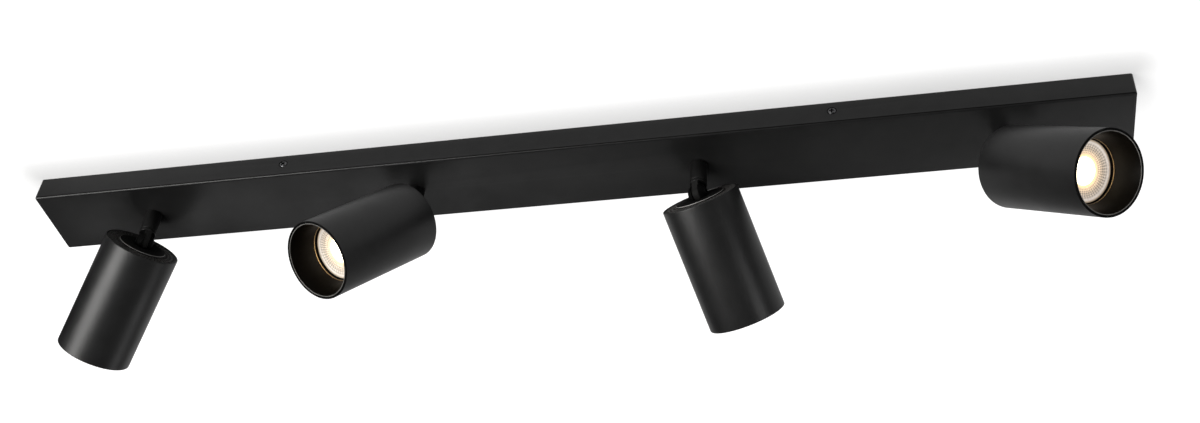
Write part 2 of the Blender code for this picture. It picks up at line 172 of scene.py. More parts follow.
def powder_coat(name, dark, light, rough, grain=1900, level=0.4):
    """Satin powder coat: fine orange peel, faint mottling, edges rubbed lighter."""
    peel_height = 0.06 * MM
    rubbed = (0.045, 0.045, 0.044, 1)
    mat, n, shader, where = new_material(name)
    peel = n.noise(where, grain, 2.0, 0.55)
    mottle = n.noise(where, 60, 4.0, 0.6)
    speck = n.noise(where, grain * 2.3, 1.0, 0.4)
    bright = (*[c * 2.2 for c in light], 1)
    color = n.ramp(mottle, [(0.3, dark), (0.7, light)])
    color = n.mix(n.ramp(speck, [(0.62, 0.0), (0.74, 0.35)]), color, bright)
    edge = n.add("ShaderNodeNewGeometry").outputs["Pointiness"]
    color = n.mix(n.ramp(edge, [(0.52, 0.0), (0.62, 0.30)]), color, rubbed)
    n.feed(shader.inputs["Base Color"], color)
    shader.inputs["Specular IOR Level"].default_value = level
    smear = n.noise(where, 22, 3.0, 0.6)
    n.feed(shader.inputs["Roughness"], n.span(smear, 0.3, 0.7, rough[0], rough[1]))
    n.feed(shader.inputs["Normal"], n.bump(peel, peel_height))
    return mat


def metal(name, color, rough=0.34, grain=(900, 60, 900)):
    """Plated or blackened metal with drawn grain and dull patches."""
    grain_height = 0.02 * MM
    mat, n, shader, where = new_material(name, 1.0)
    stretch = n.add("ShaderNodeMapping", {"Vector": where, "Scale": grain}).outputs[0]
    lines = n.noise(stretch, 1.0, 2.0, 0.6)
    patch = n.noise(where, 90, 4.0, 0.6)
    dull = tuple(c * 0.8 for c in color)
    n.feed(shader.inputs["Base Color"], n.ramp(patch, [(0.35, dull), (0.65, color)]))
    n.feed(shader.inputs["Roughness"], n.span(lines, 0.3, 0.7, rough - 0.07, rough + 0.10))
    n.feed(shader.inputs["Normal"], n.bump(lines, grain_height))
    return mat


def moulded(name, color, rough=0.45, grain=900, metallic=0.0):
    """Moulded plastic or fired ceramic with a fine texture."""
    grain_height = 0.03 * MM
    mat, n, shader, where = new_material(name, metallic)
    fine = n.noise(where, grain, 2.0, 0.5)
    broad = n.noise(where, 70, 3.0, 0.5)
    dull = tuple(c * 0.88 for c in color)
    n.feed(shader.inputs["Base Color"], n.ramp(broad, [(0.3, dull), (0.7, color)]))
    n.feed(shader.inputs["Roughness"], n.span(fine, 0.3, 0.7, rough - 0.05, rough + 0.08))
    n.feed(shader.inputs["Normal"], n.bump(fine, grain_height))
    return mat


def lens_glow():
    """Lit lens: blown-out dome, amber rim, ribbed warm collar and frosted edge."""
    brightness = 9.0
    flute_depth = 0.42
    ring_depth = 0.28
    ring_turns = 95.0
    frost_height = 0.03 * MM
    mat, n, shader, where = new_material("lamp_glow")
    links = {0: where, 1: (1, 1, 0)}
    flat = n.add("ShaderNodeVectorMath", links, operation="MULTIPLY").outputs[0]
    radius = n.add("ShaderNodeVectorMath", {0: flat}, operation="LENGTH").outputs["Value"]
    place = n.span(radius, 0.0, LENS_R, 0.0, 1.0)
    frost = n.noise(where, 700, 3.0, 0.6)
    warm = n.ramp(place, [
        (0.0, (1.0, 0.94, 0.82)),
        (0.42, (1.0, 0.86, 0.60)),
        (0.47, (1.0, 0.58, 0.24)),
        (0.56, (1.0, 0.72, 0.46)),
        (0.72, (1.0, 0.80, 0.62)),
        (0.93, (1.0, 0.90, 0.82)),
        (1.0, (1.0, 0.70, 0.40)),
    ])
    power = n.ramp(place, [
        (0.0, 1.0),
        (0.40, 0.90),
        (0.47, 0.20),
        (0.56, 0.090),
        (0.70, 0.048),
        (0.84, 0.044),
        (0.90, 0.070),
        (0.95, 0.052),
        (1.0, 0.012),
    ])
    axes = n.add("ShaderNodeSeparateXYZ", {0: where}).outputs
    turn = n.math("ARCTAN2", axes["Y"], axes["X"])
    flutes = n.math("SINE", n.math("MULTIPLY", turn, float(FLUTES)))
    flutes = n.math("MULTIPLY", flutes, flute_depth)
    rings = n.math("SINE", n.math("MULTIPLY", place, ring_turns))
    rings = n.math("MULTIPLY", rings, ring_depth)
    collar = n.ramp(place, [(0.54, 0.0), (0.60, 1.0), (0.82, 1.0), (0.88, 0.0)])
    ribs = n.math("MULTIPLY", n.math("ADD", flutes, rings), collar)
    power = n.math("MULTIPLY", power, n.math("ADD", 1.0, ribs))
    power = n.math("MULTIPLY", power, brightness)
    speckle = n.span(frost, 0.25, 0.75, 0.86, 1.12)
    glass = n.mix(speckle, (0.22, 0.19, 0.15, 1), (0.30, 0.27, 0.22, 1))
    n.feed(shader.inputs["Base Color"], glass)
    n.feed(shader.inputs["Emission Color"], warm)
    n.feed(shader.inputs["Emission Strength"], n.math("MULTIPLY", power, speckle))
    n.feed(shader.inputs["Roughness"], n.span(frost, 0.3, 0.7, 0.16, 0.30))
    n.feed(shader.inputs["Normal"], n.bump(frost, frost_height))
    return mat


COAT = powder_coat(
    "black_powder_coat", (0.006, 0.006, 0.0062), (0.009, 0.009, 0.0092), (0.30, 0.42), level=0.25
)
# Painted shade: a darker, duller copy of the coat for a dark line along the folds, standing in
# for the dark reflection there.
FOLD_SHADE_COAT = powder_coat("painted_fold_shade", grey(0.002), grey(0.004), (0.40, 0.50), level=0.06)
TUBE_COAT = powder_coat(
    "black_tube_coat", (0.006, 0.006, 0.0062), (0.010, 0.010, 0.0103), (0.34, 0.42)
)
# Painted shade: a darker copy of the coat for the stems, which sit in shade.
STEM_SHADE_COAT = powder_coat("stem_painted_shade", grey(0.003), grey(0.006), (0.42, 0.55), level=0.2)
# Painted shade: a near-black, dull copy of the coat for the countersinks, the screws' cross
# recesses, the tube's mouth end face, the floor round the rear disc, the knuckle and the stem's
# eye.
SHADE_BLACK = powder_coat("painted_shade_black", grey(0.0008), grey(0.0018), (0.5, 0.6), level=0.05)
# Painted shade: a darker, duller copy of the coat for the rear disc, whose top lies in shade;
# the lamp's front rim uses it too.
DISC_COAT = powder_coat("black_disc_coat", grey(0.002), grey(0.004), (0.45, 0.55), level=0.1)
# Near-black satin whose warm brownish tint is painted in for the warm light seen inside the
# baffle.
BAFFLE_COAT = powder_coat(
    "black_baffle_satin",
    (0.0018, 0.0015, 0.0012),
    (0.0034, 0.0027, 0.002),
    (0.30, 0.40),
    grain=2200,
    level=0.06,
)
# Painted glints: the grille's web is lighter grey than the black coat, standing in for light
# catching the web and hole rims.
GRILLE_GLINT_COAT = powder_coat(
    "grille_painted_glint", (0.035, 0.034, 0.033), (0.06, 0.058, 0.056), (0.35, 0.45), level=0.12
)
LIP_COAT = powder_coat(
    "grey_lip_satin", (0.13, 0.127, 0.12), (0.19, 0.186, 0.177), (0.28, 0.38), 1800
)
# Painted highlight: light grey on the rear disc's edge, standing in for the light that edge
# catches.
RIM_HIGHLIGHT_COAT = powder_coat(
    "painted_rim_highlight", (0.20, 0.197, 0.19), (0.28, 0.276, 0.268), (0.28, 0.38), 1800
)
ZINC = metal("zinc_plate", (0.60, 0.60, 0.61))
SCREW = metal("blackened_screw", (0.13, 0.13, 0.135), 0.32, (500, 500, 60))
PIVOT_STEEL = metal("dark_pivot_steel", (0.025, 0.025, 0.026), 0.42, (500, 500, 60))
CERAMIC = moulded("white_ceramic", (0.76, 0.74, 0.68), 0.55, 1200)
SHELL = moulded("lamp_shell_satin", (0.62, 0.60, 0.56), 0.34, 900, 0.3)
GOLD_RIM = metal("lamp_rim_gold", (0.42, 0.31, 0.17), 0.34, (400, 400, 60))
TERMINAL = moulded("terminal_polyamide", (0.74, 0.74, 0.70), 0.42)
WIRE = moulded("wire_sleeve", (0.26, 0.12, 0.05), 0.42, 1500)
GLOW = lens_glow()


# ------------------------------------------------------------------ geometry

def rotation(degrees, axis):
    return Matrix.Rotation(math.radians(degrees), 4, axis)


def facing_side(y):
    """Turn that points +Z out of the canopy's side at this y."""
    return rotation(-90 if y > 0 else 90, "X")


def on_circle(r, a, z):
    return (r * math.cos(a), r * math.sin(a), z)


def finish_mesh(name, bm, mats, angle=SHARP_ANGLE):
    bmesh.ops.recalc_face_normals(bm, faces=bm.faces)
    mesh = bpy.data.meshes.new(name)
    bm.to_mesh(mesh)
    bm.free()
    for mat in mats:
        mesh.materials.append(mat)
    mesh.shade_smooth()
    mesh.set_sharp_from_angle(angle=math.radians(angle))
    return mesh


def join_mesh(bm, piece, slot):
    """Adds a mesh to bm, all of it in one material slot."""
    before = len(bm.faces)
    bm.from_mesh(piece)
    bm.faces.ensure_lookup_table()
    for face in bm.faces[before:]:
        face.material_index = slot


def add_object(name, mesh, matrix, body, slot, *replaced):
    obj = bpy.data.objects.new(name, mesh)
    bpy.context.scene.collection.objects.link(obj)
    obj.matrix_world = matrix
    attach(obj, body)
    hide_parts(*replaced)


def rounded(points, radius, segments=4):
    """The same chain of (r, z) points with its inner corners rounded."""
    longest = 0.45
    out = [Vector(points[0])]
    for before, corner, after in zip(points, points[1:], points[2:]):
        before, corner, after = Vector(before), Vector(corner), Vector(after)
        to_before = before - corner
        to_after = after - corner
        reach = min(radius, to_before.length * longest, to_after.length * longest)
        start = corner + to_before.normalized() * reach
        end = corner + to_after.normalized() * reach
        for k in range(segments + 1):
            t = k / segments
            out.append((1 - t) ** 2 * start + 2 * t * (1 - t) * corner + t * t * end)
    out.append(Vector(points[-1]))
    return [(p[0], p[1]) for p in out]


def rounded_ring(points, radius, segments=4):
    """A closed (r, z) loop with every corner rounded."""
    loop = [points[-1], *points, points[0]]
    return rounded(loop, radius, segments)[1:-1]


def revolve(name, chain, mats, steps=96, closed=False, tint=None):
    """Surface of revolution about Z. tint(r, z) picks a material slot."""
    bm = bmesh.new()
    rings = []
    for r, z in chain:
        if r < 1e-7:
            rings.append([bm.verts.new((0, 0, z))] * steps)
            continue
        ring = []
        for k in range(steps):
            ring.append(bm.verts.new(on_circle(r, 2 * math.pi * k / steps, z)))
        rings.append(ring)
    pairs = list(zip(rings, rings[1:]))
    spans = list(zip(chain, chain[1:]))
    if closed:
        pairs.append((rings[-1], rings[0]))
        spans.append((chain[-1], chain[0]))
    for (low, high), (a, b) in zip(pairs, spans):
        for k in range(steps):
            n = (k + 1) % steps
            corners = []
            for vert in (low[k], low[n], high[n], high[k]):
                if vert not in corners:
                    corners.append(vert)
            if len(corners) < 3:
                continue
            face = bm.faces.new(corners)
            if tint:
                face.material_index = tint((a[0] + b[0]) / 2, (a[1] + b[1]) / 2)
    return finish_mesh(name, bm, mats)


def cut(mesh, cutter):
    """The mesh less the cutter, whose slots the cut faces keep."""
    target = bpy.data.objects.new("work", mesh)
    tool = bpy.data.objects.new("tool", cutter)
    for obj in (target, tool):
        bpy.context.scene.collection.objects.link(obj)
    modifier = target.modifiers.new("cut", "BOOLEAN")
    modifier.operation = "DIFFERENCE"
    modifier.solver = "EXACT"
    modifier.object = tool
    graph = bpy.context.evaluated_depsgraph_get()
    result = bpy.data.meshes.new_from_object(target.evaluated_get(graph))
    result.name = mesh.name
    bpy.data.objects.remove(target, do_unlink=True)
    bpy.data.objects.remove(tool, do_unlink=True)
    result.shade_smooth()
    result.set_sharp_from_angle(angle=math.radians(SHARP_ANGLE))
    return result


def block(name, low, high, mats, bevel=0.0, segments=1):
    """Box from low to high. A bevel rounds every edge but the top's."""
    bm = bmesh.new()
    bmesh.ops.create_cube(bm, size=1.0)
    for v in bm.verts:
        for i in range(3):
            v.co[i] = low[i] if v.co[i] < 0 else high[i]
    if bevel:
        edges = [e for e in bm.edges if not all(v.co.z == high[2] for v in e.verts)]
        bmesh.ops.bevel(
            bm, geom=edges, offset=bevel, segments=segments, profile=0.5, affect="EDGES"
        )
    return finish_mesh(name, bm, mats)


def rod(name, radius, low, high, mats, steps=48, matrix=None):
    mesh = revolve(name, [(0, low), (radius, low), (radius, high), (0, high)], mats, steps)
    if matrix:
        mesh.transform(matrix)
    return mesh


def canopy_mesh(low, high, stems, screws):
    """Folded tray with rounded folds, stem holes and countersunk screw holes."""
    mats = [COAT, SHADE_BLACK, FOLD_SHADE_COAT]
    dark_from, dark_to = 8, 32
    tray = block("canopy_shell", low, high, mats, FOLD_R, FOLD_STEPS)
    # The upper part of the long folds gets the painted dark line, standing in for the dark
    # reflection of the fold's curve.
    for face in tray.polygons:
        lean = math.degrees(math.asin(min(1.0, abs(face.normal.z))))
        if dark_from < lean < dark_to and abs(face.normal.y) > 0.5:
            face.material_index = mats.index(FOLD_SHADE_COAT)
    inside_low = (low[0] + WALL, low[1] + WALL, low[2] + WALL)
    inside_high = (high[0] - WALL, high[1] - WALL, high[2] + 5 * MM)
    tray = cut(tray, block("hollow", inside_low, inside_high, [COAT], 0.5 * MM, 2))
    for x in stems:
        place = Matrix.Translation((x, 0, 0))
        tray = cut(tray, rod("hole", STEM_HOLE_R, -30 * MM, -15 * MM, [COAT], 48, place))
    chain = [
        (0, -4 * MM),
        (2.2 * MM, -4 * MM),
        (2.2 * MM, -0.9 * MM),
        (SINK_R - 0.1 * MM, -0.6 * MM),
        (SINK_R, 1 * MM),
        (0, 1 * MM),
    ]
    # The countersinks are lined with the painted-shade black.
    for place in screws:
        sink = revolve("sink", chain, [COAT, SHADE_BLACK], 32, tint=lambda r, z: 1)
        sink.transform(Matrix.Translation(place) @ facing_side(place[1]))
        tray = cut(tray, sink)
    return tray


def screw_mesh():
    """Cross-head screw along +Z, its shoulder at zero."""
    chain = [
        (0, -6 * MM),
        (1.2 * MM, -6 * MM),
        (SCREW_R, -5 * MM),
        (SCREW_R, 0.3 * MM),
        (SCREW_HEAD_R - 0.05 * MM, 0.3 * MM),
        (SCREW_HEAD_R, 0.7 * MM),
        (2.3 * MM, 1.2 * MM),
        (1.3 * MM, 1.46 * MM),
        (0, 1.5 * MM),
    ]
    arm = 2.0 * MM
    half = 0.6 * MM
    mesh = revolve("screw_body", chain, [SCREW, SHADE_BLACK], 32)
    # The cross recess is lined with painted shade.
    for x, y in ((arm, half), (half, arm)):
        recess = block("recess", (-x, -y, 0.6 * MM), (x, y, 3 * MM), [SCREW, SHADE_BLACK])
        for face in recess.polygons:
            face.material_index = 1
        mesh = cut(mesh, recess)
    return mesh


def tube_mesh():
    """Plain tube with eased edges; the mouth's end face is painted dark as shade."""
    chain = [(BORE_R, MOUTH), (TUBE_R, MOUTH), (TUBE_R, REAR), (BORE_R, REAR)]
    loop = rounded_ring(chain, 0.6 * MM)

    def end_face(r, z):
        return 1 if z < MOUTH + 0.5 * MM else 0

    return revolve("tube_shell", loop, [TUBE_COAT, SHADE_BLACK], 128, True, end_face)


def rear_cap_mesh():
    """Rear cap: raised disc with a painted highlight on its edge, and a floor round it in
    painted-shade black.
    """
    hole = 7.2 * MM
    under = REAR - 5 * MM
    floor = REAR - 3.6 * MM
    chain = [
        (hole, under),
        (LINER_R, under),
        (LINER_R, floor),
        (DISC_R, floor),
        (DISC_R, DISC_TOP),
        (hole, DISC_TOP),
    ]
    loop = rounded_ring(chain, 0.5 * MM)

    # The disc's edge takes the painted highlight; the floor round it takes painted shade.
    def finish(r, z):
        if r > DISC_R - 0.3 * MM and z > REAR - 1.0 * MM:
            return 1
        return 2 if r > DISC_R - 0.1 * MM else 0

    return revolve("rear_disc", loop, [DISC_COAT, RIM_HIGHLIGHT_COAT, SHADE_BLACK], 96, True, finish)


def grille_mesh():
    """Perforated ring: staggered rows of six-sided holes through a thin sheet."""
    inner = DISC_R + 0.3 * MM
    outer = LINER_R
    rows = 3
    cells = 52
    top = REAR - 0.5 * MM
    low = top - 0.8 * MM
    hole = 1.2 * MM
    bm = bmesh.new()
    cache = {}

    def vertex(r, step, z):
        key = (round(r * 1e7), step % (2 * cells), z)
        if key not in cache:
            cache[key] = bm.verts.new(on_circle(r, math.pi * step / cells, z))
        return cache[key]

    pitch = (outer - inner) / rows
    for row in range(rows):
        r_low = inner + pitch * row
        r_high = r_low + pitch
        r_mid = (r_low + r_high) / 2
        for cell in range(cells):
            left = 2 * cell + row % 2
            a = math.pi * (left + 1) / cells
            centre = Vector(on_circle(r_mid, a, 0))
            across = Vector((-math.sin(a), math.cos(a), 0))
            out = Vector(on_circle(1, a, 0))
            rim = {}
            for z in (low, top):
                around = [
                    vertex(r_low, left + 2, z),
                    vertex(r_high, left + 2, z),
                    vertex(r_high, left + 1, z),
                    vertex(r_high, left, z),
                    vertex(r_low, left, z),
                    vertex(r_low, left + 1, z),
                ]
                rim[z] = []
                for angle in (-38, 38, 90, 142, 218, 270):
                    t = math.radians(angle)
                    point = centre + across * hole * math.cos(t) + out * hole * math.sin(t)
                    rim[z].append(bm.verts.new((point.x, point.y, z)))
                for k in range(6):
                    n = (k + 1) % 6
                    face = (around[k], around[n], rim[z][n], rim[z][k])
                    bm.faces.new(face if z == top else face[::-1])
            for k in range(6):
                n = (k + 1) % 6
                bm.faces.new((rim[low][k], rim[low][n], rim[top][n], rim[top][k]))
    for r in (inner, outer):
        for step in range(2 * cells):
            edge = ((0, low), (1, low), (1, top), (0, top))
            bm.faces.new([vertex(r, step + k, z) for k, z in edge])
    # The web's lighter grey is painted glint.
    return finish_mesh("grille_sheet", bm, [GRILLE_GLINT_COAT])


def baffle_mesh():
    """Anti-glare cone: a light lip line at the mouth, a gilt inner edge at the lamp."""
    lip = MOUTH + 0.25 * MM
    seat = LAMP_FRONT - 0.3 * MM
    edge = seat - 1.6 * MM
    edge_r = 22.4 * MM
    chain = [
        (LINER_R - 0.5 * MM, lip),
        (LINER_R, lip),
        (LINER_R, MOUTH + 3.0 * MM),
        (edge_r + 1.2 * MM, edge),
        (LINER_R, seat - 1.2 * MM),
        (LINER_R, seat),
        (edge_r, seat),
        (edge_r, edge),
    ]
    loop = rounded_ring(chain, 0.25 * MM, 3)

    def finish(r, z):
        if z < lip + 0.3 * MM:
            return 1
        return 2 if edge - 0.4 * MM < z < edge + 0.3 * MM and r < edge_r + 0.4 * MM else 0

    return revolve("baffle_cone", loop, [BAFFLE_COAT, LIP_COAT, GOLD_RIM], 128, True, finish)


def lamp_mesh():
    """Reflector lamp shell with a dark front rim and two pins."""
    mats = [SHELL, DISC_COAT, ZINC]
    rear = LAMP_FRONT + 47 * MM
    well_r = LENS_R + 0.3 * MM
    well = LAMP_FRONT + 3.3 * MM
    pin_r = 1.3 * MM
    foot_r = 2.3 * MM
    chain = [
        (0, well),
        (well_r, well),
        (well_r, LAMP_FRONT),
        (LAMP_R, LAMP_FRONT),
        (LAMP_R, LAMP_FRONT + 3 * MM),
        (22 * MM, LAMP_FRONT + 12 * MM),
        (16 * MM, LAMP_FRONT + 24 * MM),
        (12.5 * MM, LAMP_FRONT + 32 * MM),
        (12 * MM, rear),
        (0, rear),
    ]
    pin = [
        (0, rear - 0.1 * MM),
        (pin_r, rear - 0.1 * MM),
        (pin_r, rear + 4 * MM),
        (foot_r, rear + 4.4 * MM),
        (foot_r, rear + 6.3 * MM),
        (0, rear + 6.5 * MM),
    ]

    def rim(r, z):
        return 1 if z < LAMP_FRONT + 3 * MM and r > LENS_R else 0

    bm = bmesh.new()
    bm.from_mesh(revolve("lamp_shell", rounded(chain, 0.4 * MM, 3), mats, 96, False, rim))
    for y in (-5 * MM, 5 * MM):
        piece = revolve("pin", pin, [ZINC], 24)
        piece.transform(Matrix.Translation((0, y, 0)))
        join_mesh(bm, piece, mats.index(ZINC))
    return finish_mesh("lamp_shell", bm, mats)


def lens_depth(r, a):
    """Depth of the lens's front face: central dome, fluted collar, flat rim."""
    well = 1.8 * MM
    rib = 0.22 * MM
    if r < DOME_R:
        return well - 1.75 * MM * math.cos(r / DOME_R * math.pi / 2)
    if r < COLLAR_R:
        t = (r - DOME_R) / (COLLAR_R - DOME_R)
        fade = math.sin(math.pi * t) ** 0.5
        return well * (1 - t) + rib * fade * (math.sin(FLUTES * a) + math.cos(r / MM * 2.6))
    return -0.10 * MM


def lens_mesh():
    """Front lens with its dome sunk behind the rim, and a flat back."""
    steps = 4 * FLUTES
    rings = 44
    face_z = LAMP_FRONT + 0.45 * MM
    back_z = LAMP_FRONT + 3 * MM
    bm = bmesh.new()
    angles = [2 * math.pi * k / steps for k in range(steps)]
    grid = []
    for i in range(1, rings + 1):
        r = LENS_R * i / rings
        grid.append([bm.verts.new(on_circle(r, a, face_z + lens_depth(r, a))) for a in angles])
    back = [bm.verts.new(on_circle(LENS_R, a, back_z)) for a in angles]
    grid.append(back)
    front = bm.verts.new((0, 0, LAMP_FRONT + 0.5 * MM))
    rear = bm.verts.new((0, 0, back_z))
    for k in range(steps):
        n = (k + 1) % steps
        bm.faces.new((front, grid[0][k], grid[0][n]))
        bm.faces.new((rear, back[n], back[k]))
        for low, high in zip(grid, grid[1:]):
            bm.faces.new((low[k], high[k], high[n], low[n]))
    return finish_mesh("lens_face", bm, [GLOW], 50)


def eye_mesh():
    """Flat eye at the stem's lower end, with a hole for the pivot pin, in painted-shade black.
    """
    shoulder = SHOULDER + 0.5 * MM
    arc = 24
    outline = [(EYE_R, shoulder), (-EYE_R, shoulder)]
    for k in range(arc + 1):
        a = math.pi + math.pi * k / arc
        outline.append((EYE_R * math.cos(a), EYE_R * math.sin(a)))
    bm = bmesh.new()
    sides = []
    for y in (-EYE_HALF, EYE_HALF):
        sides.append([bm.verts.new((x, y, z)) for x, z in outline])
    bm.faces.new(sides[0])
    bm.faces.new(sides[1][::-1])
    for k in range(len(outline)):
        n = (k + 1) % len(outline)
        bm.faces.new((sides[0][k], sides[0][n], sides[1][n], sides[1][k]))
    eye = finish_mesh("eye", bm, [SHADE_BLACK])
    hole_r = PIN_R + 0.15 * MM
    return cut(eye, rod("pin_hole", hole_r, -4 * MM, 4 * MM, [SHADE_BLACK], 32, rotation(90, "X")))


def stem_mesh():
    """Round stem with its groove, threaded neck and flat eye; the stem takes a painted-shade
    copy of the coat, the eye the painted-shade black.
    """
    rise = PIVOT_DROP - 0.3 * MM
    end = PIVOT_DROP + 8 * MM
    groove_r = STEM_R - 0.45 * MM
    root_r = THREAD_R - 0.4 * MM
    turns = 12
    chain = [
        (0, SHOULDER),
        (STEM_R, SHOULDER),
        (STEM_R, SHOULDER + 2.2 * MM),
        (groove_r, SHOULDER + 2.4 * MM),
        (groove_r, SHOULDER + 3.0 * MM),
        (STEM_R, SHOULDER + 3.2 * MM),
        (STEM_R, rise),
        (THREAD_R, rise),
    ]
    chain = rounded(chain, 0.5 * MM, 3)
    for k in range(turns):
        z = rise + (end - rise) * k / turns
        chain += [(root_r, z + 0.2 * MM), (THREAD_R, z + 0.5 * MM)]
    chain += [(root_r, end), (0, end)]
    bm = bmesh.new()
    bm.from_mesh(revolve("stem_rod", chain, [STEM_SHADE_COAT], 64))
    join_mesh(bm, eye_mesh(), 1)
    return finish_mesh("stem_rod", bm, [STEM_SHADE_COAT, SHADE_BLACK])


def knuckle_mesh():
    """Ball on a boss in the rear disc, with a slot for the stem's eye, all in painted-shade
    black.
    """
    foot = REAR - 6.5 * MM
    flange_r = 9.5 * MM
    flange_top = foot + 1.2 * MM
    slot_half = 2.8 * MM
    recess_floor = PIN_HALF - 0.02 * MM
    reach = 10 * MM
    arc = 20
    start = math.asin(DISC_TOP / BALL_R)
    chain = [(0, foot), (flange_r, foot), (flange_r, flange_top), (6.8 * MM, flange_top)]
    for k in range(arc):
        a = start + (math.pi / 2 - start) * k / arc
        chain.append((BALL_R * math.cos(a), BALL_R * math.sin(a)))
    chain.append((0, BALL_R))
    mesh = revolve("knuckle_body", chain, [SHADE_BLACK], 64)
    low = (-9 * MM, -slot_half, REAR - 0.5 * MM)
    high = (9 * MM, slot_half, 20 * MM)
    mesh = cut(mesh, block("slot", low, high, [SHADE_BLACK]))
    bores = (
        ("pocket", 6.4 * MM, -2.78 * MM, 2.78 * MM, 64),
        ("bore", PIN_R + 0.1 * MM, -reach, reach, 32),
        ("recess", PIN_HEAD_R + 0.2 * MM, -reach, -recess_floor, 32),
        ("recess", PIN_HEAD_R + 0.2 * MM, recess_floor, reach, 32),
    )
    for name, radius, near, far, steps in bores:
        mesh = cut(mesh, rod(name, radius, near, far, [SHADE_BLACK], steps, rotation(90, "X")))
    return mesh


def pivot_mesh():
    """Pivot screw with low domed ends, one of them with a hex socket."""
    crown_r = 2.3 * MM
    rim = PIN_HALF + 0.5 * MM
    crown = PIN_HALF + 0.9 * MM
    chain = [
        (0, -crown),
        (crown_r, -crown),
        (PIN_HEAD_R, -rim),
        (PIN_HEAD_R, -PIN_HALF),
        (PIN_R, -PIN_HALF),
        (PIN_R, PIN_HALF),
        (PIN_HEAD_R, PIN_HALF),
        (PIN_HEAD_R, rim),
        (crown_r, crown),
        (0, crown),
    ]
    floor = PIN_HALF - 0.2 * MM
    mesh = revolve("pivot_body", rounded(chain, 0.2 * MM, 3), [PIVOT_STEEL], 32)
    mesh = cut(mesh, rod("socket", 1.4 * MM, floor, PIN_HALF + 3 * MM, [PIVOT_STEEL], 6))
    mesh.transform(rotation(90, "X"))
    return mesh


# ------------------------------------------------------------------ the light

def joint(name):
    for entry in frame["joints"]:
        if entry["name"] == name:
            return entry
    raise KeyError(name)


def dress_base():
    nodes = frame["nodes"]
    low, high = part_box("canopy_housing")
    stems = [joint(f"pan_{k}")["pos_m"][0] for k in SPOTS]
    screws = []
    for k in SIDE_SCREWS:
        a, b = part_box(f"side_screw_{k}")
        y = high[1] if a[1] > 0 else low[1]
        screws.append(((a[0] + b[0]) / 2, y, (a[2] + b[2]) / 2))
    mesh = canopy_mesh(low, high, stems, screws)
    add_object("canopy_shell", mesh, Matrix.Identity(4), "base", "black_coat", "canopy_housing")
    screw = screw_mesh()
    for k, (x, y, z) in zip(SIDE_SCREWS, screws):
        spin = rotation(23 + 31 * k, "Z")
        inset = -SCREW_INSET if y > 0 else SCREW_INSET
        place = Matrix.Translation((x, y + inset, z)) @ facing_side(y) @ spin
        add_object(f"cross_screw_{k}", screw, place, "base", "screw_steel", f"side_screw_{k}")
    looks = {
        "ceiling_bracket": ZINC,
        "terminal_block": TERMINAL,
        "earth_screw": SCREW,
        "cable_clamp": TERMINAL,
        "supply_lead": WIRE,
    }
    for k in SPOTS:
        looks[f"stem_nut_{k}"] = ZINC
        looks[f"lampholder_{k}"] = CERAMIC
        looks[f"holder_bracket_{k}"] = ZINC
    for name, mat in looks.items():
        for material_slot in nodes[name].material_slots:
            material_slot.material = mat


def dress_spots():
    head = (
        ("tube_shell", tube_mesh(), "black_coat", "tube"),
        ("rear_disc", rear_cap_mesh(), "black_coat", "rear_cap"),
        ("grille", grille_mesh(), "black_coat", "vent_ring"),
        ("knuckle_body", knuckle_mesh(), "black_coat", "knuckle"),
        ("pivot_body", pivot_mesh(), "screw_steel", "pivot_screw"),
        ("baffle_cone", baffle_mesh(), "black_coat", "baffle"),
        ("lamp_shell", lamp_mesh(), "lamp_shell", "lamp_body"),
        ("lens_face", lens_mesh(), "lamp_glass", "lamp_lens"),
    )
    rod_mesh = stem_mesh()
    for k in SPOTS:
        tilt = joint(f"tilt_{k}")
        axis = tilt["axis"]
        pan_angle = math.atan2(axis[0], -axis[1])
        pan = Matrix.Translation(tilt["pos_m"]) @ Matrix.Rotation(pan_angle, 4, "Z")
        place = pan @ rotation(tilt["range_deg"][0], "Y")
        add_object(f"stem_rod_{k}", rod_mesh, pan, f"arm_{k}", "black_coat", f"stem_{k}")
        for name, mesh, slot, node in head:
            add_object(f"{name}_{k}", mesh, place, f"head_{k}", slot, f"{node}_{k}")


# ------------------------------------------------------------ stage and light

def canopy_gap(n, axes):
    """Distance past the canopy's ends and its near side, across the ceiling."""
    past_end = n.math("SUBTRACT", n.math("ABSOLUTE", axes["X"]), HALF_LENGTH)
    past_end = n.math("MAXIMUM", past_end, 0.0)
    off_side = n.math("SUBTRACT", n.math("MULTIPLY", axes["Y"], -1.0), HALF_WIDTH)
    off_side = n.math("MAXIMUM", off_side, 0.0)
    squares = [n.math("MULTIPLY", part, part) for part in (past_end, off_side)]
    return n.math("SQRT", n.math("ADD", *squares))


